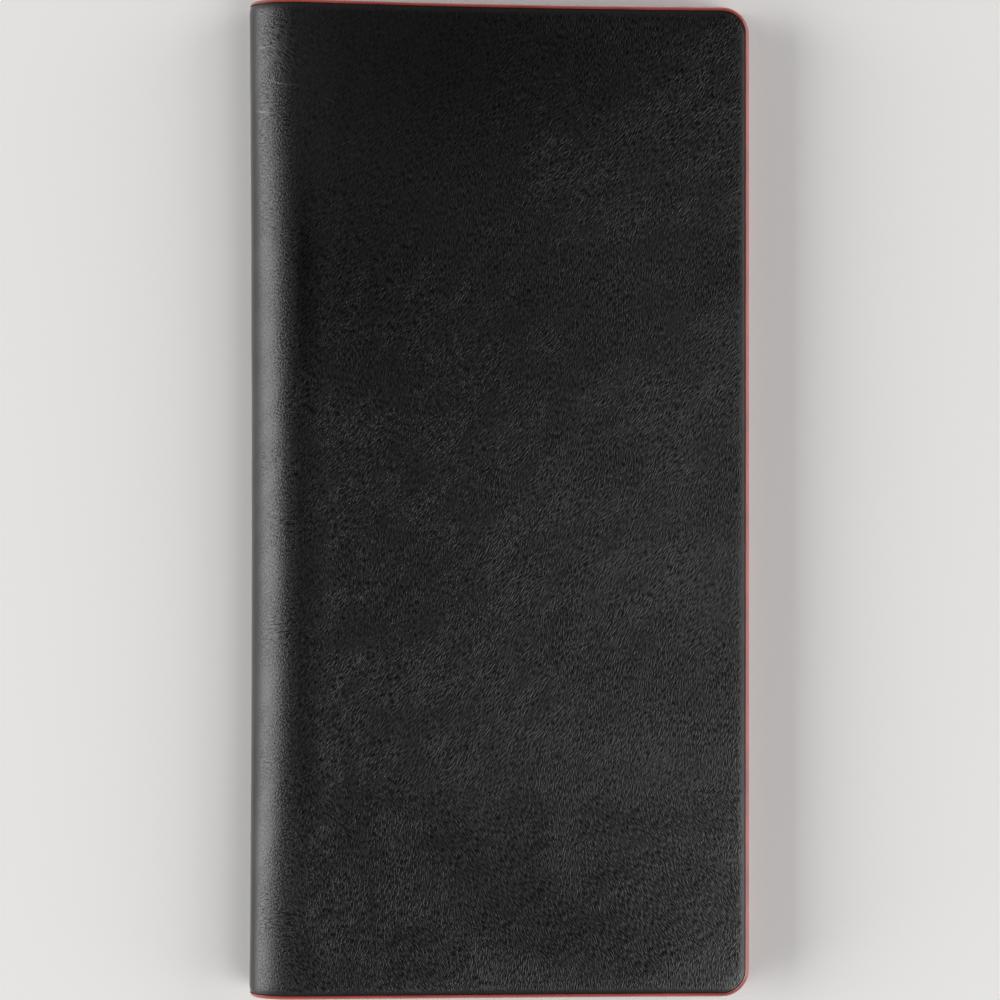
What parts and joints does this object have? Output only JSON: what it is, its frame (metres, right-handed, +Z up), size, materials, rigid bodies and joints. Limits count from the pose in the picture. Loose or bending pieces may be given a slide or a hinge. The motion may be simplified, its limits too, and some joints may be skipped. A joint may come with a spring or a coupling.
{
  "type": "travel wallet",
  "caption": "Tall bifold leather wallet with a rounded spine, red bead edges and red lining; opens flat to full-height ticket and document pockets, a passport pocket and stepped card slots.",
  "frame": {"origin": "centre of the closed wallet's footprint, on the surface that the back cover lies on", "axes": "+X from the spine to the fore edge, +Y from tail to head, +Z up through the front cover"},
  "size_m": [0.11, 0.22, 0.015],
  "materials": {
    "cover_leather": "black smooth fine-grained, soft sheen",
    "pocket_leather": "black smooth, thin",
    "lining_leather": "red smooth, matt",
    "edge_paint": "red edge paint, rounded and glossy",
    "board": "grey fibreboard",
    "thread": "red waxed thread"
  },
  "bodies": {
    "back_cover": {"back_leather": "cover_leather", "back_board": "board", "back_lining": "lining_leather", "back_edge_bead": "edge_paint", "document_pocket": "pocket_leather", "document_pocket_seam": "thread", "passport_pocket": "pocket_leather", "passport_pocket_seam": "thread"},
    "spine": {"spine_leather": "cover_leather", "spine_stay": "board", "spine_lining": "lining_leather", "spine_head_bead": "edge_paint", "spine_tail_bead": "edge_paint"},
    "front_cover": {"front_leather": "cover_leather", "front_board": "board", "front_lining": "lining_leather", "front_edge_bead": "edge_paint", "ticket_pocket": "pocket_leather", "ticket_pocket_seam": "thread", "card_slot_1": "pocket_leather", "card_slot_2": "pocket_leather", "card_slot_3": "pocket_leather", "card_slot_4": "pocket_leather", "card_slot_seam_1": "thread", "card_slot_seam_2": "thread", "card_slot_seam_3": "thread", "card_slot_seam_4": "thread"}
  },
  "joints": [
    {"name": "spine_fold", "type": "hinge", "parent": "back_cover", "child": "spine", "pos_m": [-0.05316, 0, 0.00184], "axis": [0, -1, 0], "range_deg": [0, 90]},
    {"name": "front_fold", "type": "hinge", "parent": "spine", "child": "front_cover", "pos_m": [-0.05316, 0, 0.01312], "axis": [0, -1, 0], "range_deg": [0, 91.5]}
  ],
  "couplings": [
    {"joint": "front_fold", "follows": "spine_fold", "ratio": 1.0166}
  ]
}
